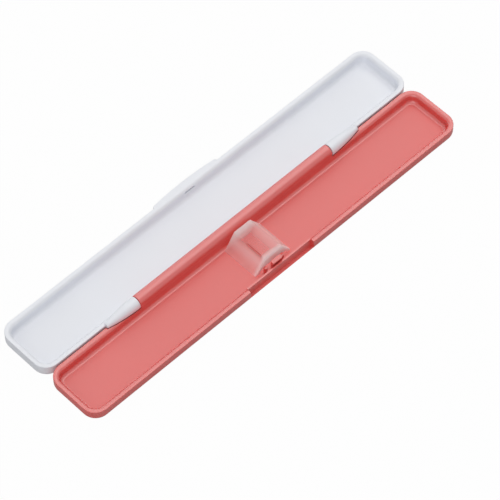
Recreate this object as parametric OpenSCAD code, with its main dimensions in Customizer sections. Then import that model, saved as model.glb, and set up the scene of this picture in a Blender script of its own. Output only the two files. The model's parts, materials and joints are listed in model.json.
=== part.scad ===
// Portable chopstick case: two long shallow trays joined by a moulded side hinge,
// with a soft stick holder seated in the base.
// X runs along the case, Y from the base towards the opened lid, Z up.
// The origin is the middle of the base's underside. The lid is drawn opened flat.

/* [Case] */
// Length of the closed case
case_l = 190; // [160:1:240]
// Width of each tray over its walls
case_w = 26; // [25:0.5:40]
// Outer corner radius of the trays, seen from above
corner_r = 6; // [4.5:0.5:8]
// Thickness of the tray walls
wall_t = 2.4; // [2:0.1:2.8]
// Radius of the rim's outer edge
rim_outer_r = 0.2; // [0.2:0.1:0.6]
// Radius of the rim's inner edge
rim_inner_r = 1.5; // [0.4:0.1:1.6]
// Radius between the inner walls and the floor
floor_fillet = 1.2; // [0.5:0.1:1.5]
// Gap between the back walls of the two trays
tray_gap = 0.54; // [0.4:0.02:1]
// Gap left between the two rims when the case is shut
shut_gap = 0.2; // [0.1:0.05:0.5]

/* [Base tray] */
// Height of the base
base_h = 5.6; // [5.2:0.1:8]
// Thickness of the base's floor
base_floor_t = 1.5; // [1:0.1:2]
// Radius of the base's lower outer edge
base_edge_r = 2.6; // [1.5:0.1:3]

/* [Lid tray] */
// Height of the lid
lid_h = 6.2; // [6:0.1:9]
// Thickness of the lid's panel
lid_floor_t = 1.3; // [1:0.1:1.8]
// Radius of the lid's outer panel edge
lid_edge_r = 2.5; // [1.5:0.1:3]

/* [Hinge] */
// Radius of the hinge barrel on the base
barrel_r = 2.6; // [2.2:0.1:2.9]
// Length of the hinge barrel
barrel_l = 99.5; // [60:0.5:110]
// Length of each lid knuckle beside the barrel
knuckle_l = 15; // [10:0.5:20]
// Radius of a knuckle at its outer, narrow end
knuckle_tip_r = 1.1; // [0.6:0.1:1.8]
// Radius of the pin moulded on each knuckle
pin_r = 1; // [0.7:0.1:1.4]
// Length of each pin
pin_l = 3.5; // [2:0.5:6]
// Radial play of a pin in its bore
pin_play = 0.05; // [0.02:0.01:0.1]
// Clearance round the barrel and the knuckles
hinge_clear = 0.3; // [0.2:0.05:0.5]

/* [Thumb grip] */
// Length of the lip along the lid's front rim
lip_l = 32.8; // [20:0.2:60]
// How far the lip stands out at its ends
lip_end = 0.9; // [0.5:0.1:1.4]
// How far the lip stands out at its middle
lip_mid = 1.85; // [1.5:0.05:3]
// Radius of the lip's end corners, seen from above
lip_corner_r = 1; // [0.4:0.1:1.2]
// Thickness of the lip
lip_t = 1.5; // [1:0.1:2]
// Length of the thumb recess in the base's front wall
recess_l = 32.8; // [20:0.2:60]
// Depth of the thumb recess
recess_d = 1.7; // [0.8:0.1:1.7]
// Height of the ledge left under the thumb recess
recess_ledge = 1.3; // [1.2:0.1:3]

/* [Latch] */
// Width of the latch tongue
latch_w = 4.8; // [3:0.1:8]
// Thickness of the latch tongue
latch_t = 1.1; // [0.8:0.1:1.5]
// Gap between the tongue and the front wall
latch_gap = 0.5; // [0.4:0.05:0.8]
// How far the tongue rises above the base's rim
latch_rise = 2.15; // [2:0.05:2.6]
// Width of the tongue's blunt tip
latch_tip = 0.2; // [0.1:0.1:0.5]
// How far the tongue's catch stands out of its front face
catch_out = 0.4; // [0.2:0.05:0.4]
// Height of the catch's nose above the base's rim
catch_rise = 1.55; // [1.2:0.05:1.8]
// Height of the catch's blunt nose
nose_h = 0.3; // [0.2:0.05:0.4]
// Height of the lid's latch slot
slot_h = 0.8; // [0.6:0.1:1.2]
// Depth of the lid's latch slot
slot_d = 0.8; // [0.5:0.1:1.2]
// Play of the catch in the slot at each end
slot_play = 0.15; // [0.1:0.05:0.4]

/* [Stick holder] */
// Length of the holder at its feet
holder_foot_l = 18.4; // [14:0.2:30]
// Length of the holder's flat top
holder_top_l = 8.4; // [8:0.2:12]
// Height of the holder above the base's floor
holder_h = 7.4; // [6.8:0.1:7.6]
// How far the holder's middle stands to the right of the case's middle
holder_shift = 0.5; // [-2:0.1:2]
// Thickness of the holder's walls
holder_t = 1; // [0.8:0.1:1.2]
// Thickness of the thin window in the holder's top
window_t = 0.5; // [0.3:0.1:0.7]
// Length of the thin window along the case
window_l = 6.4; // [4:0.2:7]
// Width of the border in front of the window and behind it
window_border = 1.4; // [1:0.1:2.5]
// Width of the border between the left ridge and the window
window_edge = 0.6; // [0.4:0.1:1]
// Width of the slit along the holder's left ridge
slit_w = 0.5; // [0.3:0.1:0.8]
// Length of the slit
slit_l = 7.5; // [4:0.5:10]
// Distance of the slit's front end from the holder's front
slit_front = 2.1; // [1.5:0.1:4]
// Width of the holder's four corner legs
leg_w = 1.3; // [1:0.1:2]
// Height of the way through the holder's two sloped sides
way_h = 5.6; // [4.5:0.1:5.8]
// Height of the openings in the holder's front and back walls
arch_h = 2.5; // [2:0.1:4.5]
// Clearance in front of the holder, and in front of the stops that hold it
holder_clear = 0.2; // [0.1:0.05:0.5]
// Spacing of the two stops in front of the holder, middle to middle
stop_gap = 8.6; // [7:0.2:11]
// Width of each stop along the case
stop_w = 1.1; // [0.8:0.1:2]
// Thickness of each stop
stop_t = 1.2; // [0.8:0.1:1.4]
// Height of each stop above the floor
stop_h = 3; // [2:0.1:4]

/* [Hidden] */
$fn = 96;

// Overlap of pieces of one moulding, and overshoot of a cut
bite = 0.5;
// Lengths of the straight walls between the corners
straight_l = case_l - 2 * corner_r;
straight_w = case_w - 2 * corner_r;
// Inner face of the long walls, and edge of the flat floor
inner_y = case_w / 2 - wall_t;
floor_y = inner_y - floor_fillet;
// Hinge axis: midway between the trays, at the height where the rims meet
hinge_y = case_w / 2 + tray_gap / 2;
hinge_z = (base_h + lid_h + shut_gap) / 2;
// The barrel's web stops just below the axis, inside the barrel's own round
web_drop = 0.2;
web_top = hinge_z - web_drop;
// Middle and front edge of the opened lid
lid_y = case_w + tray_gap;
lid_front_y = lid_y + case_w / 2;
// Arc of a knuckle, level at its thick end
knuckle_drop = barrel_r - knuckle_tip_r;
knuckle_arc_r = (knuckle_l * knuckle_l + knuckle_drop * knuckle_drop) / (2 * knuckle_drop);
// Plan arc of the lip
lip_rise = lip_mid - lip_end;
lip_arc_r = (lip_l * lip_l / 4 + lip_rise * lip_rise) / (2 * lip_rise);
lip_arc_y = lid_front_y + lip_mid - lip_arc_r;
lip_root = wall_t - rim_inner_r;
// Middle of the round at the lip's right end, inside the arc and touching it
lip_corner_x = lip_l / 2 - lip_corner_r;
lip_corner_y = lip_arc_y + sqrt(pow(lip_arc_r - lip_corner_r, 2) - pow(lip_corner_x, 2));
// Front face and top of the latch tongue, and the middle of its catch's nose
latch_front_y = -inner_y + latch_gap;
latch_top = base_h + latch_rise;
catch_z = base_h + catch_rise;
// The catch's nose, at its height on the opened lid
slot_z = 2 * hinge_z - catch_z;
slot_w = latch_w + 2 * slot_play;
// The holder fills the flat floor from its back edge to the stops behind the tongue
stop_front_y = latch_front_y + latch_t + holder_clear;
holder_front_y = stop_front_y + stop_t + holder_clear;
holder_back_y = floor_y;
holder_w = holder_back_y - holder_front_y;
holder_top_z = base_floor_t + holder_h;
// Run of the holder's sloped sides for each millimetre of height, and the wall's width there
slope = (holder_foot_l - holder_top_l) / 2 / holder_h;
slope_t = holder_t * sqrt(1 + slope * slope);
// Left ridge of the holder, where its slope meets its top, and the window beside it
ridge_x = holder_shift - holder_top_l / 2;
window_x = ridge_x + window_edge;

// What a quarter round of radius r leaves of the corner at the origin
module corner_bit(r) {
    difference() {
        square(r);
        translate([r, r]) circle(r);
    }
}

// Section of a wall with its strip of floor: x inwards from the outer face, y upwards
module wall_section(h, floor_t, edge_r) {
    difference() {
        union() {
            square([corner_r, floor_t]);
            square([wall_t, h]);
            translate([wall_t, floor_t]) corner_bit(floor_fillet);
        }
        corner_bit(edge_r);
        translate([0, h]) mirror([0, 1]) corner_bit(rim_outer_r);
        translate([wall_t, h]) rotate(180) corner_bit(rim_inner_r);
    }
}

// A quarter turn of the wall, outer corner towards -X and -Y
module corner(h, floor_t, edge_r) {
    translate([-straight_l / 2, -straight_w / 2, 0])
        rotate(180)
            rotate_extrude(angle = 90)
                translate([corner_r, 0]) mirror([1, 0]) wall_section(h, floor_t, edge_r);
}

// An open tray with round corners, centred on the origin
module tray(h, floor_t, edge_r) {
    translate([-straight_l / 2, -straight_w / 2, 0]) cube([straight_l, straight_w, floor_t]);
    for (turn = [0, 180]) rotate(turn) {
        translate([-straight_l / 2, -case_w / 2, 0])
            rotate([90, 0, 90]) linear_extrude(straight_l) wall_section(h, floor_t, edge_r);
        translate([-case_l / 2, straight_w / 2, 0])
            rotate([90, 0, 0]) linear_extrude(straight_w) wall_section(h, floor_t, edge_r);
        corner(h, floor_t, edge_r);
        mirror([0, 1, 0]) corner(h, floor_t, edge_r);
    }
}

// Round roll along the base's back wall, with the web that carries it
module hinge_barrel() {
    web_foot = base_floor_t + floor_fillet;
    translate([-barrel_l / 2, 0, 0]) rotate([90, 0, 90]) linear_extrude(barrel_l) {
        translate([hinge_y, hinge_z]) circle(barrel_r);
        translate([hinge_y - barrel_r, web_foot])
            square([case_w / 2 - hinge_y + barrel_r, web_top - web_foot]);
    }
}

// One turned knuckle on the hinge axis, its thick end against the right end of the barrel.
// A grown copy cuts its seat.
module knuckle(grow = 0) {
    translate([barrel_l / 2 + hinge_clear - grow, hinge_y, hinge_z])
        rotate([0, 90, 0])
            rotate_extrude()
                intersection() {
                    square([barrel_r + grow, knuckle_l + 2 * grow]);
                    translate([barrel_r - knuckle_arc_r, grow]) circle(knuckle_arc_r + grow, $fn = 360);
                }
}

// A round bar on the hinge axis, from x0 to the right
module on_axis(x0, length, r) {
    translate([x0, hinge_y, hinge_z]) rotate([0, 90, 0]) cylinder(r = r, h = length);
}

// The same on both ends of the case
module both_ends() {
    children();
    mirror([1, 0, 0]) children();
}

// Springy tongue behind the front wall, with a catch along its front top
module latch_tongue() {
    root_z = base_floor_t - bite;
    nose_top = catch_z + nose_h / 2;
    nose_foot = catch_z - nose_h / 2;
    translate([-latch_w / 2, latch_front_y, 0]) rotate([90, 0, 90]) linear_extrude(latch_w)
        polygon([
            [0, root_z], [latch_t, root_z], [latch_t, latch_top], [latch_t - latch_tip, latch_top],
            [-catch_out, nose_top], [-catch_out, nose_foot], [0, nose_foot - catch_out]]);
}

// Two low stops that keep the holder from sliding forward
module holder_stops() {
    for (side = [-1, 1])
        translate([side * stop_gap / 2 - stop_w / 2, stop_front_y, base_floor_t - bite])
            cube([stop_w, stop_t, stop_h + bite]);
}

// Plain rim of the thin wall that the thumb recess leaves
module recess_rim() {
    translate([-recess_l / 2, -inner_y - wall_t / 2, base_h - rim_inner_r - bite])
        cube([recess_l, wall_t / 2, rim_inner_r + bite]);
}

module thumb_recess() {
    translate([-recess_l / 2, -case_w / 2 - bite, recess_ledge])
        cube([recess_l, recess_d + bite, base_h]);
}

// Lip along the front rim: bowed in the middle, with round ends
module thumb_lip() {
    reach = lip_root + lip_mid + bite;
    translate([0, 0, lid_h - lip_t]) linear_extrude(lip_t) intersection() {
        translate([-lip_l / 2, lid_front_y - lip_root]) square([lip_l, reach]);
        union() {
            intersection() {
                translate([0, lip_arc_y]) circle(lip_arc_r, $fn = 720);
                translate([-lip_corner_x, lid_front_y - lip_root]) square([2 * lip_corner_x, reach]);
            }
            for (side = [-1, 1]) translate([side * lip_corner_x, lip_corner_y]) circle(lip_corner_r);
        }
    }
}

module latch_slot() {
    translate([-slot_w / 2, lid_front_y - wall_t - bite, slot_z - slot_h / 2])
        cube([slot_w, slot_d + bite, slot_h]);
}

// Section of the holder's hood up to a height, drawn in at its sides: x along the case, y upwards
module hood_section(height, inset = 0) {
    foot = holder_foot_l / 2 - inset;
    top = foot - slope * height;
    polygon([[-foot, 0], [foot, 0], [top, height], [-top, height]]);
}

module along_y(y0, length) {
    translate([holder_shift, y0 + length, base_floor_t]) rotate([90, 0, 0]) linear_extrude(length) children();
}

// Base: tray, hinge barrel, latch tongue and stops in one moulding
module base_tray() {
    color([0.86, 0.42, 0.40]) difference() {
        union() {
            tray(base_h, base_floor_t, base_edge_r);
            hinge_barrel();
            latch_tongue();
            holder_stops();
            recess_rim();
        }
        both_ends() {
            knuckle(hinge_clear);
            on_axis(barrel_l / 2 - pin_l, pin_l + bite, pin_r + pin_play);
        }
        thumb_recess();
    }
}

// Lid: tray, knuckles with their pins, and thumb lip in one moulding
module lid_tray() {
    color([0.93, 0.93, 0.95]) {
        difference() {
            union() {
                translate([0, lid_y, 0]) tray(lid_h, lid_floor_t, lid_edge_r);
                both_ends() knuckle();
                thumb_lip();
            }
            on_axis(-barrel_l / 2 - hinge_clear, barrel_l + 2 * hinge_clear, barrel_r + hinge_clear);
            latch_slot();
        }
        both_ends()
            on_axis(barrel_l / 2 + hinge_clear - pin_l, pin_l + bite, pin_r);
    }
}

// Holder: a soft hood with an open way through its sloped sides and a thin window in its top
module stick_holder() {
    inside_w = holder_w - 2 * holder_t;
    way_w = holder_w - 2 * leg_w;
    window_w = holder_w - 2 * window_border;
    color([0.93, 0.90, 0.90, 0.6]) difference() {
        along_y(holder_front_y, holder_w) hood_section(holder_h);
        along_y(holder_front_y + holder_t, inside_w) hood_section(holder_h - holder_t, slope_t);
        along_y(holder_front_y - bite, holder_w + 2 * bite) hood_section(arch_h, slope_t);
        translate([holder_shift - holder_foot_l / 2 - bite, holder_front_y + leg_w, base_floor_t - bite])
            cube([holder_foot_l + 2 * bite, way_w, way_h + bite]);
        translate([window_x, holder_front_y + window_border, holder_top_z - holder_t + window_t])
            cube([window_l, window_w, holder_t]);
        translate([ridge_x - slit_w / 2, holder_front_y + slit_front, base_floor_t + way_h - bite])
            cube([slit_w, slit_l, holder_h - way_h + 2 * bite]);
    }
}

base_tray();
lid_tray();
stick_holder();
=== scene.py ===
import json
import math

import bmesh
import bpy
from mathutils import Euler, Matrix, Vector


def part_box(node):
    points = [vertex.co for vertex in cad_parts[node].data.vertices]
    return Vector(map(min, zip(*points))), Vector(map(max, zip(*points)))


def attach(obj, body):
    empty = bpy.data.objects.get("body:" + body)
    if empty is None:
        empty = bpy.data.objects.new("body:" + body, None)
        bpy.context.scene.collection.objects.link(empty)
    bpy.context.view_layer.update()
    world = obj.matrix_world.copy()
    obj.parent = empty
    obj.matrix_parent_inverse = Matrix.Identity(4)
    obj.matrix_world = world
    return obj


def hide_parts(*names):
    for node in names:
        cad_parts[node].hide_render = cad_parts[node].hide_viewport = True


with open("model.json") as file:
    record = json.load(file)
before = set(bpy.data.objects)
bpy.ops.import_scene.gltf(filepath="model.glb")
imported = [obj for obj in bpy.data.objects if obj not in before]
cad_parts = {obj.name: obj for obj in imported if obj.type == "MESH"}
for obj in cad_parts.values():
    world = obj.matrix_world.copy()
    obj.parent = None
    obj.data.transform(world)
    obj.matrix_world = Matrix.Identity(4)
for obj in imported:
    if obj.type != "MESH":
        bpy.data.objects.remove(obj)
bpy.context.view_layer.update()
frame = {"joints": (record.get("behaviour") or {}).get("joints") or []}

# Camera: a long lens that looks down on the opened case from its front left corner. Its aim, angles
# and distance were fitted to the corners of both trays, for a square picture.
aim = Vector((-0.0007, 0.0038, 0.0))
azimuth = math.radians(-43.627)
elevation = math.radians(55.246)
roll = math.radians(-0.555)
camera_distance = 1.2555
camera_lens = 241.03
camera_sensor = 36
turn = Euler((math.pi / 2 - elevation, 0, azimuth)).to_matrix() @ Matrix.Rotation(roll, 3, "Z")
bpy.ops.object.select_all(action="DESELECT")
bpy.ops.object.camera_add(
    location=aim + turn @ Vector((0, 0, camera_distance)), rotation=turn.to_euler())
camera = bpy.context.object
camera.data.lens = camera_lens
camera.data.sensor_width = camera_sensor
bpy.context.scene.camera = camera

# Base tray: a long shallow tray of satin coral plastic, injection moulded in one shot. It lies on its
# flat underside and carries the hinge barrel, the latch tongue and the holder.
mm = 0.001
hair = 0.01 * mm
loop_slack = 5 * hair
level_face = 0.9
base_low, base_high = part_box("base_tray")
case_l = base_high.x - base_low.x
case_w = -2 * base_low.y
corner_r = 6 * mm
corner_steps = 14
wall_t = 2.4 * mm
rim_outer_r = 0.2 * mm
rim_inner_r = 1.5 * mm
floor_fillet = 1.6 * mm
fillet_steps = 6
base_h = 5.6 * mm
base_floor_t = 1.5 * mm
base_edge_r = 2.6 * mm
edge_steps = 10
small_steps = 3


def pick_faces(test):
    """Select, on the mesh being edited, just the faces whose middle and normal pass the test."""
    bpy.ops.mesh.select_mode(type="FACE")
    bpy.ops.mesh.select_all(action="DESELECT")
    shape = bmesh.from_edit_mesh(bpy.context.object.data)
    for face in shape.faces:
        face.select_set(test(face.calc_center_median(), face.normal))
    bmesh.update_edit_mesh(bpy.context.object.data)


def pick_edges(test):
    """Select, on the mesh being edited, just the edges whose two ends pass the test."""
    bpy.ops.mesh.select_mode(type="EDGE")
    bpy.ops.mesh.select_all(action="DESELECT")
    shape = bmesh.from_edit_mesh(bpy.context.object.data)
    for edge in shape.edges:
        edge.select_set(test(edge.verts[0].co, edge.verts[1].co))
    bmesh.update_edit_mesh(bpy.context.object.data)


def place_in_mesh():
    """Apply the new primitive's place, turn and size, and start to edit it."""
    bpy.ops.object.transform_apply(location=True, rotation=True, scale=True)
    bpy.ops.object.mode_set(mode="EDIT")


def block(name, low, high):
    """A box between two corners, in edit mode, with its place in its mesh."""
    low, high = Vector(low), Vector(high)
    bpy.ops.object.select_all(action="DESELECT")
    bpy.ops.mesh.primitive_cube_add(size=1, location=(low + high) / 2)
    piece = bpy.context.object
    piece.name = name
    piece.scale = high - low
    place_in_mesh()
    return piece


def depth_in(point, middle_y):
    """How far a point lies inside a tray's outline, seen from above."""
    x = abs(point.x) - case_l / 2 + corner_r
    y = abs(point.y - middle_y) - case_w / 2 + corner_r
    return corner_r - (math.hypot(x, y) if min(x, y) > 0 else max(x, y))


def tray(name, middle_y, height, floor_t, edge_r):
    """A tray shaped from a block: round corners, hollowed from above, with all its edges rounded."""
    half = Vector((case_l / 2, case_w / 2, 0))
    middle = Vector((0, middle_y, 0))
    piece = block(name, middle - half, middle + half + Vector((0, 0, height)))
    pick_edges(lambda a, b: abs(a.z - b.z) > height / 2)
    bpy.ops.mesh.bevel(offset=corner_r, segments=corner_steps)
    pick_faces(lambda centre, normal: normal.z > level_face)
    bpy.ops.mesh.inset(thickness=wall_t)
    bpy.ops.mesh.extrude_region_move(TRANSFORM_OT_translate={"value": (0, 0, floor_t - height)})

    def on_loop(level, depth):
        """A test for the edges that run round the tray at one level and one depth in its outline."""
        return lambda a, b: all(
            abs(p.z - level) < hair and abs(depth_in(p, middle_y) - depth) < loop_slack for p in (a, b))

    for level, depth, radius, steps in (
            (0, 0, edge_r, edge_steps), (floor_t, wall_t, floor_fillet, fillet_steps),
            (height, wall_t, rim_inner_r, edge_steps), (height, 0, rim_outer_r, small_steps)):
        pick_edges(on_loop(level, depth))
        bpy.ops.mesh.bevel(offset=radius, segments=steps)
    bpy.ops.object.mode_set(mode="OBJECT")
    return piece


def combine(piece, operation, tool):
    """Leave edit mode, add a tool shape to a piece or cut it out, and drop the tool."""
    bpy.ops.object.mode_set(mode="OBJECT")
    bpy.ops.object.select_all(action="DESELECT")
    piece.select_set(True)
    bpy.context.view_layer.objects.active = piece
    step = piece.modifiers.new("combine", "BOOLEAN")
    step.operation = operation
    step.solver = "EXACT"
    step.object = tool
    bpy.ops.object.modifier_apply(modifier=step.name)
    bpy.data.objects.remove(tool)


base = tray("base", 0, base_h, base_floor_t, base_edge_r)

# Hinge barrel: the coral roll along the base's back wall that the lid turns on, moulded with the tray.
# A web carries it, and each end has a blind bore for the pin of a lid knuckle.
hinge = Vector(frame["joints"][0]["pos_m"])
barrel_r = 2.6 * mm
barrel_l = 99.5 * mm
barrel_end_r = 0.3 * mm
barrel_sides = 72
bore_r = 1.05 * mm
bore_l = 3.5 * mm
pin_sides = 48
web_drop = 0.2 * mm


def rod(radius, length, middle_x, sides):
    """A round rod on the hinge axis, in edit mode."""
    bpy.ops.object.select_all(action="DESELECT")
    bpy.ops.mesh.primitive_cylinder_add(
        vertices=sides, radius=radius, depth=length,
        location=(middle_x, hinge.y, hinge.z), rotation=(0, math.pi / 2, 0))
    place_in_mesh()
    return bpy.context.object


barrel = rod(barrel_r, barrel_l, hinge.x, barrel_sides)
pick_edges(lambda a, b: abs(abs(a.x) - barrel_l / 2) < hair and abs(a.x - b.x) < hair)
bpy.ops.mesh.bevel(offset=barrel_end_r, segments=small_steps)
bpy.ops.object.mode_set(mode="OBJECT")
web_end = barrel_l / 2 - barrel_end_r
web = block(
    "web", (-web_end, hinge.y - barrel_r, base_floor_t + floor_fillet),
    (web_end, case_w / 2 - rim_inner_r / 2, hinge.z - web_drop))
combine(barrel, "UNION", web)
combine(base, "UNION", barrel)
for side in (-1, 1):
    combine(base, "DIFFERENCE", rod(bore_r, 2 * bore_l, side * barrel_l / 2, pin_sides))

# Knuckle seats: hollows in the base's back rim that the lid's two tapered knuckles turn in. They
# follow the knuckles with a running gap all round.
hinge_clear = 0.3 * mm
knuckle_l = 15 * mm
knuckle_tip_r = 1.1 * mm
knuckle_rings = 14


def knuckle(side, grow):
    """One tapered knuckle on the hinge axis, drawn out ring by ring from its thick end, in edit mode."""
    drop = barrel_r - knuckle_tip_r
    arc_r = (knuckle_l ** 2 + drop ** 2) / (2 * drop)
    length = knuckle_l + 2 * grow
    x = side * (barrel_l / 2 + hinge_clear - grow)
    radius = barrel_r + grow
    bpy.ops.object.select_all(action="DESELECT")
    bpy.ops.mesh.primitive_circle_add(
        vertices=pin_sides, radius=radius, fill_type="NGON",
        location=(x, hinge.y, hinge.z), rotation=(0, math.pi / 2, 0))
    piece = bpy.context.object
    place_in_mesh()
    bpy.ops.mesh.select_all(action="SELECT")
    step = Vector((side * length / knuckle_rings, 0, 0))
    for ring in range(1, knuckle_rings + 1):
        along = length * ring / knuckle_rings
        next_r = barrel_r - arc_r + math.sqrt((arc_r + grow) ** 2 - (along - grow) ** 2)
        taper = next_r / radius
        bpy.ops.mesh.extrude_region_move(TRANSFORM_OT_translate={"value": step})
        bpy.ops.transform.resize(
            value=(1, taper, taper), center_override=(x + side * along, hinge.y, hinge.z))
        radius = next_r
    bpy.ops.mesh.select_all(action="SELECT")
    bpy.ops.mesh.normals_make_consistent(inside=False)
    return piece


for side in (-1, 1):
    combine(base, "DIFFERENCE", knuckle(side, hinge_clear))

# Thumb recess: a step in the outside of the base's front wall, below the lid's lip, that lets a thumb
# under the lip. It leaves a thin wall with a plain rim, and a ledge along its foot.
recess_l = 32.8 * mm
recess_d = 1.7 * mm
recess_ledge = 1.3 * mm
inner_y = case_w / 2 - wall_t
rim = block(
    "rim", (-recess_l / 2, -inner_y - wall_t / 2, base_h - rim_inner_r - wall_t / 4),
    (recess_l / 2, -inner_y, base_h))
combine(base, "UNION", rim)
recess = block(
    "recess", (-recess_l / 2, -case_w, recess_ledge), (recess_l / 2, recess_d - case_w / 2, 2 * base_h))
combine(base, "DIFFERENCE", recess)

# Latch tongue: a springy coral tongue that stands up behind the front wall, moulded with the tray. The
# catch along its front top, with a sloped upper face, snaps into the lid's slot.
latch_w = 4.8 * mm
latch_t = 1.1 * mm
latch_gap = 0.5 * mm
latch_y = latch_gap - inner_y
latch_top = 7.75 * mm
latch_tip = 0.2 * mm
latch_edge_r = 0.1 * mm
catch_out = 0.4 * mm
catch_z = 7.15 * mm
nose_h = 0.3 * mm
foot_sunk = 0.5 * mm
tongue_foot = base_floor_t - foot_sunk
tongue = block(
    "tongue", (-latch_w / 2, latch_y, tongue_foot),
    (latch_w / 2, latch_y + latch_t, catch_z - nose_h / 2 - catch_out))
pick_faces(lambda centre, normal: normal.z > level_face)
depth = latch_t
for rise, next_depth in (
        (catch_out, latch_t + catch_out), (nose_h, latch_t + catch_out),
        (latch_top - catch_z - nose_h / 2, latch_tip)):
    bpy.ops.mesh.extrude_region_move(TRANSFORM_OT_translate={"value": (0, 0, rise)})
    bpy.ops.transform.resize(
        value=(1, next_depth / depth, 1), center_override=(0, latch_y + latch_t, latch_top))
    depth = next_depth
pick_edges(lambda a, b: max(a.z, b.z) > base_floor_t)
bpy.ops.mesh.bevel(offset=latch_edge_r, segments=small_steps)
combine(base, "UNION", tongue)

# Holder stops: two small coral posts on the base's floor that keep the holder from sliding forward.
# They are moulded with the tray.
stop_gap = 8.6 * mm
stop_w = 1.1 * mm
stop_t = 1.2 * mm
stop_h = 3 * mm
stop_edge_r = 0.15 * mm
stop_space = 0.2 * mm
stop_y = latch_y + latch_t + stop_space
for side in (-1, 1):
    stop_x = side * stop_gap / 2
    stop = block(
        "stop", (stop_x - stop_w / 2, stop_y, tongue_foot),
        (stop_x + stop_w / 2, stop_y + stop_t, base_floor_t + stop_h))
    pick_edges(lambda a, b: max(a.z, b.z) > base_floor_t)
    bpy.ops.mesh.bevel(offset=stop_edge_r, segments=small_steps)
    combine(base, "UNION", stop)

# Coral finish: the base comes out of a finely textured mould, so its gloss is satin with a grain that
# shows only close up and a slow, faint change of tone along the part. Light goes a little way in.
coral = (0.74, 0.095, 0.084)
coral_gloss = 0.3
coral_scatter = 0.4
floor_gloss = 0.52
texture_edge = 0.06 * mm
cut_edge_r = 0.2 * mm
cut_edge_steps = 2
sharp_angle = math.radians(50)
smooth_angle = math.radians(35)
plastic_ior = 1.61
plastic_gleam = 1
scatter_radius = (1, 0.5, 0.5)
scatter_depth = 1 * mm
tone_spread = 0.03
gloss_spread = 0.015
grain_strength = 0.05
grain_h = 0.02 * mm
# Each noise has its scale, in waves a metre, and its detail.
tone_noise = (35, 3)
gloss_noise = (900, 4)
grain_noise = (7000, 2)


def soften(piece):
    """Break the sharp outer edges that the cuts left, and smooth the shading."""
    bpy.ops.object.select_all(action="DESELECT")
    piece.select_set(True)
    bpy.context.view_layer.objects.active = piece
    bpy.ops.object.mode_set(mode="EDIT")
    bpy.ops.mesh.select_all(action="SELECT")
    bpy.ops.mesh.remove_doubles(threshold=hair / 10)
    bpy.ops.mesh.select_mode(type="EDGE")
    bpy.ops.mesh.select_all(action="DESELECT")
    shape = bmesh.from_edit_mesh(piece.data)
    for edge in shape.edges:
        edge.select_set(edge.is_manifold and edge.calc_face_angle_signed() > sharp_angle)
    bmesh.update_edit_mesh(piece.data)
    bpy.ops.mesh.bevel(offset=cut_edge_r, segments=cut_edge_steps, clamp_overlap=True)
    bpy.ops.object.mode_set(mode="OBJECT")
    bpy.ops.object.shade_smooth_by_angle(angle=smooth_angle)
    step = piece.modifiers.new("even", "WEIGHTED_NORMAL")
    step.keep_sharp = True
    bpy.ops.object.modifier_apply(modifier=step.name)


def new_finish(name, settings):
    """A material with its even settings on the shader, and the node tree that takes the rest."""
    material = bpy.data.materials.new(name)
    material.use_nodes = True
    shader = material.node_tree.nodes["Principled BSDF"]
    for socket, value in settings.items():
        shader.inputs[socket].default_value = value
    return material, material.node_tree, shader


def noise(tree, place, scale, detail):
    """Soft noise over the piece."""
    node = tree.nodes.new("ShaderNodeTexNoise")
    node.inputs["Scale"].default_value = scale
    node.inputs["Detail"].default_value = detail
    tree.links.new(place, node.inputs["Vector"])
    return node.outputs["Fac"]


def work(tree, operation, first, second):
    """One step of arithmetic on two values, each a number or another node's result."""
    node = tree.nodes.new("ShaderNodeMath")
    node.operation = operation
    for socket, value in zip(node.inputs, (first, second)):
        if isinstance(value, (int, float)):
            socket.default_value = value
        else:
            tree.links.new(value, socket)
    return node.outputs["Value"]


def ramp(tree, value, low, high, start, end, curve="SMOOTHSTEP"):
    """A value that goes from start to end while another goes from low to high."""
    node = tree.nodes.new("ShaderNodeMapRange")
    node.interpolation_type = curve
    for socket, number in (("From Min", low), ("From Max", high), ("To Min", start), ("To Max", end)):
        node.inputs[socket].default_value = number
    tree.links.new(value, node.inputs["Value"])
    return node.outputs["Result"]


def bump(tree, height, strength, distance):
    """Fine relief for the shader's normal."""
    node = tree.nodes.new("ShaderNodeBump")
    node.inputs["Strength"].default_value = strength
    node.inputs["Distance"].default_value = distance
    tree.links.new(height, node.inputs["Height"])
    return node.outputs["Normal"]


def moulded_plastic(name, colour, floor_top, wall_gloss, scatter):
    """Satin injection-moulded plastic with a fine grain, and a duller texture on the tray's floor."""
    material, tree, shader = new_finish(name, {
        "IOR": plastic_ior, "Specular IOR Level": plastic_gleam, "Subsurface Weight": scatter,
        "Subsurface Radius": scatter_radius, "Subsurface Scale": scatter_depth})
    place = tree.nodes.new("ShaderNodeTexCoord").outputs["Object"]
    tone = tree.nodes.new("ShaderNodeMix")
    tone.data_type = "RGBA"
    tone.inputs["A"].default_value = (*((1 - tone_spread) * c for c in colour), 1)
    tone.inputs["B"].default_value = (*(min(1, (1 + tone_spread) * c) for c in colour), 1)
    tree.links.new(noise(tree, place, *tone_noise), tone.inputs["Factor"])
    tree.links.new(tone.outputs["Result"], shader.inputs["Base Color"])
    split = tree.nodes.new("ShaderNodeSeparateXYZ")
    tree.links.new(place, split.inputs["Vector"])
    polish = ramp(tree, split.outputs["Z"], floor_top, floor_top + texture_edge, floor_gloss, wall_gloss)
    uneven = ramp(tree, noise(tree, place, *gloss_noise), 0, 1, -gloss_spread, gloss_spread, "LINEAR")
    tree.links.new(work(tree, "ADD", polish, uneven), shader.inputs["Roughness"])
    grain = bump(tree, noise(tree, place, *grain_noise), grain_strength, grain_h)
    tree.links.new(grain, shader.inputs["Normal"])
    return material


soften(base)
base.data.materials.append(
    moulded_plastic("coral_plastic", coral, base_floor_t, coral_gloss, coral_scatter))
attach(base, "base")
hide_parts("base_tray")

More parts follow.
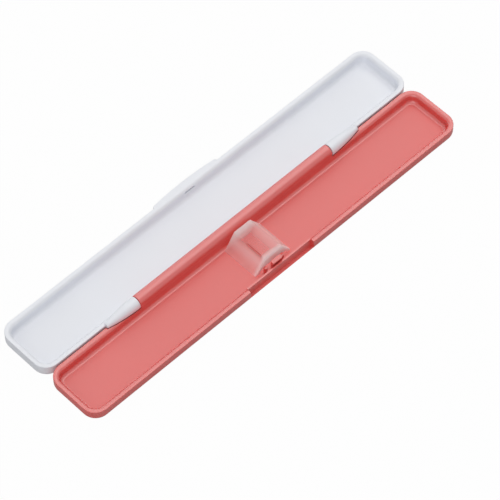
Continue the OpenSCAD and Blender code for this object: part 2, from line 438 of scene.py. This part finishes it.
# Holder: a soft hood of frosted, see-through plastic that stands across the middle of the base. It is
# clipped in behind the stops, and its sloped sides are thin skirts.
holder_low, holder_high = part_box("stick_holder")
holder_mid = (holder_low + holder_high) / 2
holder_l = holder_high.x - holder_low.x
holder_top_l = 8.4 * mm
holder_edge_r = 0.5 * mm
holder_edge_steps = 5
holder_back_r = 0.15 * mm
holder_front_r = 1.3 * mm
holder_front_steps = 8
holder_t = 0.7 * mm
holder_spare = 0.6 * mm
holder_lift = 0.06 * mm
holder_slope = (holder_l - holder_top_l) / 2 / (holder_high.z - holder_low.z - holder_lift)
window_l = 6.4 * mm
window_edge = 0.6 * mm
window_border = 1.4 * mm
window_sink = 0.2 * mm
window_bank = 0.6 * mm
window_start = 0.05 * mm
flat_top = 0.999
slit_w = 0.5 * mm
slit_l = 7.5 * mm
slit_front = 2.1 * mm
slit_deep = 1.9 * mm
arch_h = 2.5 * mm
arch_leg = 1.6 * mm
arch_r = 1.9 * mm
arch_steps = 8
cut_past = 1 * mm
milky = (0.98, 0.89, 0.89)
# Painted shade: a dark coral, nearly opaque, for the slit's cut faces, standing in for the shade inside
# the slit.
painted_shade_coral = (0.6, 0.14, 0.125)
inside_share = 0.1
slit_shade_share = 8
slit_shade_most = 0.8
frost_ior = 1.45
frost_scatter = 0.5
frost_scatter_radius = (1, 0.95, 0.95)
frost_scatter_depth = 3 * mm
frost_noise = (5000, 2)
frost_gloss = (0.35, 0.55)
frost_strength = 0.2
frost_h = 0.02 * mm
clear_milk = 0.07
# Each border has the two places from the holder's middle that the frosting grows between, and how
# milky the plastic is at each. The foot's places are heights. The front light's places are leans to the
# front, and it is painted light: faces leaning to the front get more milk, as if lit through the plastic.
front_border = (5.8 * mm, 8.2 * mm, clear_milk, 0.7)
back_border = (2.5 * mm, 8.3 * mm, clear_milk, 0.55)
left_border = (3.6 * mm, 6.2 * mm, clear_milk, 0.42)
right_border = (-2.5 * mm, 4.6 * mm, clear_milk, 0.28)
foot_fade = (3 * mm, 7 * mm, 0.4, 1)
front_light_milk = (0.8, 1, 0, 0.3)
glance_power = 2
glance_milk = 0.35
light_passed = 0.85


def hood(name, foot_l, low_y, high_y, low_z, high_z):
    """A block along Y that narrows upwards by the holder's slope, in edit mode."""
    half_l = foot_l / 2
    piece = block(name, (holder_mid.x - half_l, low_y, low_z), (holder_mid.x + half_l, high_y, high_z))
    pick_faces(lambda centre, normal: normal.z > level_face)
    top_l = foot_l - 2 * holder_slope * (high_z - low_z)
    bpy.ops.transform.resize(value=(top_l / foot_l, 1, 1), center_override=holder_mid)
    return piece


def on_side(a, b):
    """Whether an edge lies in the plane of one of the holder's two sloped sides."""
    return (a.x - holder_mid.x) * (b.x - holder_mid.x) > 0 and all(abs(
        abs(p.x - holder_mid.x) - holder_l / 2 + holder_slope * (p.z - holder_low.z - holder_lift)) < hair
        for p in (a, b))


holder = hood(
    "holder", holder_l, holder_low.y, holder_high.y, holder_low.z + holder_lift, holder_high.z)
pick_edges(lambda a, b: min(a.z, b.z) > holder_high.z - hair and max(a.y, b.y) < holder_mid.y)
bpy.ops.mesh.bevel(offset=holder_front_r, segments=holder_front_steps)
pick_edges(lambda a, b: min(a.z, b.z) > holder_high.z - hair and min(a.y, b.y) > holder_mid.y)
bpy.ops.mesh.bevel(offset=holder_back_r, segments=small_steps)
pick_edges(lambda a, b: max(a.z, b.z) > holder_mid.z and on_side(a, b))
bpy.ops.mesh.bevel(offset=holder_edge_r, segments=holder_edge_steps)
ridge_x = holder_mid.x - holder_top_l / 2
window_low = Vector((ridge_x + window_edge, holder_low.y + window_border, holder_high.z))
window_high = Vector((window_low.x + window_l, holder_high.y - window_border, holder_high.z))
pick_faces(lambda centre, normal: normal.z > flat_top)
bpy.ops.mesh.inset(thickness=window_start)
shape = bmesh.from_edit_mesh(holder.data)
for corner in [v for f in shape.faces if f.select for v in f.verts]:
    corner.co.x = window_low.x if corner.co.x < holder_mid.x else window_high.x
    corner.co.y = window_low.y if corner.co.y < holder_mid.y else window_high.y
bmesh.update_edit_mesh(holder.data)
bpy.ops.mesh.inset(thickness=window_bank)
bpy.ops.transform.translate(value=(0, 0, -window_sink))
bpy.ops.object.mode_set(mode="OBJECT")
hollow = hood(
    "hollow", holder_l - 2 * holder_t * math.hypot(1, holder_slope) + 2 * holder_slope * holder_spare,
    holder_low.y + holder_t, holder_high.y - holder_t,
    holder_low.z - holder_spare, holder_high.z - holder_t)
bpy.ops.object.mode_set(mode="OBJECT")
slit_low = Vector((ridge_x - slit_w / 2, holder_low.y + slit_front, holder_high.z - slit_deep))
slit = block("slit", slit_low, slit_low + Vector((slit_w, slit_l, 2 * slit_deep)))
bpy.ops.object.mode_set(mode="OBJECT")
arch = hood(
    "arch", holder_l - 2 * arch_leg + 2 * holder_slope * holder_spare,
    holder_low.y - cut_past, holder_high.y + cut_past,
    holder_low.z - holder_spare, holder_low.z + arch_h)
pick_edges(lambda a, b: min(a.z, b.z) > holder_low.z and abs(a.x - b.x) < hair)
bpy.ops.mesh.bevel(offset=arch_r, segments=arch_steps)
bpy.ops.object.mode_set(mode="OBJECT")


def frosted(name, colour, share, most):
    """See-through plastic: clear in the window, milky at the borders, thin towards the floor."""
    material, tree, shader = new_finish(name, {
        "Base Color": (*colour, 1), "IOR": frost_ior, "Subsurface Weight": frost_scatter,
        "Subsurface Radius": frost_scatter_radius, "Subsurface Scale": frost_scatter_depth})
    place = tree.nodes.new("ShaderNodeTexCoord")
    split = tree.nodes.new("ShaderNodeSeparateXYZ")
    tree.links.new(place.outputs["Object"], split.inputs["Vector"])
    along = work(tree, "SUBTRACT", split.outputs["X"], holder_mid.x)
    across = work(tree, "SUBTRACT", split.outputs["Y"], holder_mid.y)
    front = ramp(tree, work(tree, "MULTIPLY", across, -1), *front_border)
    back = ramp(tree, across, *back_border)
    left = ramp(tree, work(tree, "MULTIPLY", along, -1), *left_border)
    right = ramp(tree, along, *right_border)
    foot = ramp(tree, split.outputs["Z"], *foot_fade)
    milk = work(tree, "MAXIMUM", back, work(tree, "MAXIMUM", left, right))
    milk = work(tree, "MAXIMUM", front, work(tree, "MULTIPLY", milk, foot))
    lean = tree.nodes.new("ShaderNodeSeparateXYZ")
    tree.links.new(place.outputs["Normal"], lean.inputs["Vector"])
    # Painted light: faces that lean to the front are made milkier, so the front wall looks lit from
    # within.
    front_light = ramp(tree, work(tree, "MULTIPLY", lean.outputs["Y"], -1), *front_light_milk)
    milk = work(tree, "ADD", milk, front_light)
    weight = tree.nodes.new("ShaderNodeLayerWeight")
    glance = work(tree, "POWER", weight.outputs["Facing"], glance_power)
    milk = work(tree, "ADD", milk, work(tree, "MULTIPLY", glance, glance_milk))
    path = tree.nodes.new("ShaderNodeLightPath")
    shadow = work(tree, "MULTIPLY", path.outputs["Is Shadow Ray"], light_passed)
    dense = work(tree, "MINIMUM", work(tree, "MULTIPLY", milk, share), most)
    alpha = work(tree, "MULTIPLY", dense, work(tree, "SUBTRACT", 1, shadow))
    tree.links.new(alpha, shader.inputs["Alpha"])
    speckle = noise(tree, place.outputs["Object"], *frost_noise)
    tree.links.new(ramp(tree, speckle, 0, 1, *frost_gloss, "LINEAR"), shader.inputs["Roughness"])
    tree.links.new(bump(tree, speckle, frost_strength, frost_h), shader.inputs["Normal"])
    return material


# The slit's cut faces get the dark coral as painted shade, for the shade seen down the slit.
finishes = (
    frosted("frosted_outside", milky, 1, 1), frosted("frosted_inside", milky, inside_share, 1),
    frosted("slit_painted_shade", painted_shade_coral, slit_shade_share, slit_shade_most))
for piece, finish in ((holder, 0), (hollow, 1), (arch, 1), (slit, 2)):
    for material in finishes:
        piece.data.materials.append(material)
    for face in piece.data.polygons:
        face.material_index = 1 if face.normal.z < -level_face else finish
for tool in (hollow, arch, slit):
    combine(holder, "DIFFERENCE", tool)
bpy.ops.object.shade_smooth_by_angle(angle=smooth_angle)
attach(holder, "base")
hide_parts("stick_holder")

# Lid tray: a shallow tray of satin white plastic, injection moulded in one shot. It lies opened flat
# beside the base, and the barrel's room is scooped out of its back wall.
lid_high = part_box("lid_tray")[1]
lid_h = 6.2 * mm
lid_floor_t = 1.3 * mm
lid_edge_r = 2.5 * mm
lid_y = 2 * hinge.y
lid_front_y = lid_y + case_w / 2
lid = tray("lid", lid_y, lid_h, lid_floor_t, lid_edge_r)
scoop = rod(barrel_r + hinge_clear, barrel_l + 2 * hinge_clear, hinge.x, barrel_sides)
combine(lid, "DIFFERENCE", scoop)

# Lid knuckles: two tapered knuckles on the lid's back wall, one at each end of the barrel. A stub pin
# on each is sprung into the barrel's bore.
pin_r = 1 * mm
pin_l = 3.5 * mm
end_face = 0.99
for side in (-1, 1):
    horn = knuckle(side, 0)
    pick_faces(lambda centre, normal: normal.x * side < -end_face)
    bpy.ops.mesh.inset(thickness=barrel_r - pin_r)
    bpy.ops.mesh.extrude_region_move(TRANSFORM_OT_translate={"value": (-side * pin_l, 0, 0)})
    combine(lid, "UNION", horn)

# Thumb lip: a thin bowed lip along the lid's front rim, moulded with it, that a thumb lifts. It
# stands over the recess in the base when the case is shut.
lip_l = 32.8 * mm
lip_end = 0.9 * mm
lip_mid = lid_high.y - lid_front_y
lip_t = 1.5 * mm
lip_corner_r = 1 * mm
lip_corner_steps = 6
lip_edge_r = 0.3 * mm
lip_cuts = 23
lip = block(
    "lip", (-lip_l / 2, lid_front_y - wall_t + rim_inner_r, lid_h - lip_t),
    (lip_l / 2, lid_front_y + lip_mid, lid_h))
pick_edges(lambda a, b: abs(a.x - b.x) > lip_l / 2)
bpy.ops.mesh.subdivide(number_cuts=lip_cuts)
shape = bmesh.from_edit_mesh(lip.data)
for vertex in shape.verts:
    if vertex.co.y > lid_front_y:
        vertex.co.y = lid_front_y + lip_mid - (lip_mid - lip_end) * (2 * vertex.co.x / lip_l) ** 2
bmesh.update_edit_mesh(lip.data)
pick_edges(lambda a, b: abs(a.z - b.z) > lip_t / 2 and a.y > lid_front_y and abs(a.x) > lip_l / 2 - hair)
bpy.ops.mesh.bevel(offset=lip_corner_r, segments=lip_corner_steps)
pick_edges(lambda a, b: abs(a.z - b.z) < hair and min(a.y, b.y) > lid_front_y - hair)
bpy.ops.mesh.bevel(offset=lip_edge_r, segments=small_steps)
combine(lid, "UNION", lip)

# Latch slot: a narrow blind slot in the inner face of the lid's front wall. The tongue's catch snaps
# into it when the case is shut.
slot_play = 0.15 * mm
slot_d = 1.6 * mm
slot_z = 2 * hinge.z - catch_z
slot_h = 0.8 * mm
slot_w = latch_w + 2 * slot_play
slot_y = lid_front_y - wall_t
slot = block(
    "slot", (-slot_w / 2, slot_y - cut_past, slot_z - slot_h / 2),
    (slot_w / 2, slot_y + slot_d, slot_z + slot_h / 2))
combine(lid, "DIFFERENCE", slot)

# White finish: the lid comes out of the same kind of mould as the base, in an opaque white plastic. Its
# walls are less glossy than the coral ones.
white = (0.836, 0.859, 0.918)
white_gloss = 0.46
white_scatter = 0
soften(lid)
lid.data.materials.append(
    moulded_plastic("white_plastic", white, lid_floor_t, white_gloss, white_scatter))
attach(lid, "lid")
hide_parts("lid_tray")

# Table and light: a white table top in a white room, a wide softbox over the case, a weaker one at the
# front left and one behind. The camera and every mirrored view see the room as white.
paper = 0.6
paper_rough = 0.9
table_size = 4
table_glow = 0.08
white_share = 0.98
room_bounce = 0.35
warm_light = (1, 0.98, 0.95)
plain_light = (1, 1, 1)


def seen_white(tree, seen, mirrored, bounced):
    """A level with one value for the camera, one for mirrored views and one for bounced light."""
    path = tree.nodes.new("ShaderNodeLightPath")
    mirror = work(tree, "MAXIMUM", path.outputs["Is Glossy Ray"], path.outputs["Is Transmission Ray"])
    unseen = tree.nodes.new("ShaderNodeMix")
    unseen.inputs["A"].default_value = bounced
    unseen.inputs["B"].default_value = mirrored
    tree.links.new(mirror, unseen.inputs["Factor"])
    level = tree.nodes.new("ShaderNodeMix")
    level.inputs["B"].default_value = seen
    tree.links.new(unseen.outputs["Result"], level.inputs["A"])
    tree.links.new(path.outputs["Is Camera Ray"], level.inputs["Factor"])
    return level.outputs["Result"]


bpy.ops.object.select_all(action="DESELECT")
bpy.ops.mesh.primitive_plane_add(size=table_size, location=(0, 0, -hair))
table = bpy.context.object
table.name = "table"
table_paper, tree, sheet = new_finish(
    "table_paper", {"Base Color": (paper, paper, paper, 1), "Roughness": paper_rough})
glow = tree.nodes.new("ShaderNodeEmission")
mix = tree.nodes.new("ShaderNodeMixShader")
tree.links.new(seen_white(tree, white_share, table_glow, 0), mix.inputs["Fac"])
tree.links.new(sheet.outputs["BSDF"], mix.inputs[1])
tree.links.new(glow.outputs["Emission"], mix.inputs[2])
tree.links.new(mix.outputs["Shader"], tree.nodes["Material Output"].inputs["Surface"])
table.data.materials.append(table_paper)
room = bpy.data.worlds.new("white_room")
room.use_nodes = True
tree = room.node_tree
tree.nodes["Background"].inputs["Color"].default_value = (1, 1, 1, 1)
tree.links.new(seen_white(tree, 1, 1, room_bounce), tree.nodes["Background"].inputs["Strength"])
bpy.context.scene.world = room


def softbox(direction, distance, size, watts, colour):
    """A square area lamp that faces the case from a direction."""
    direction = Vector(direction).normalized()
    bpy.ops.object.light_add(
        type="AREA", location=direction * distance, rotation=direction.to_track_quat("Z", "Y").to_euler())
    bpy.context.object.data.size = size
    bpy.context.object.data.energy = watts
    bpy.context.object.data.color = colour


softbox(direction=(0.36, 0.12, 0.93), distance=1.3, size=1.3, watts=7.2, colour=warm_light)
softbox(direction=(-0.8, -0.42, 0.48), distance=1.4, size=1.2, watts=5, colour=plain_light)
softbox(direction=(0.3, 0.85, 0.42), distance=1.4, size=1.2, watts=2.9, colour=plain_light)
bpy.context.scene.view_settings.view_transform = "Standard"
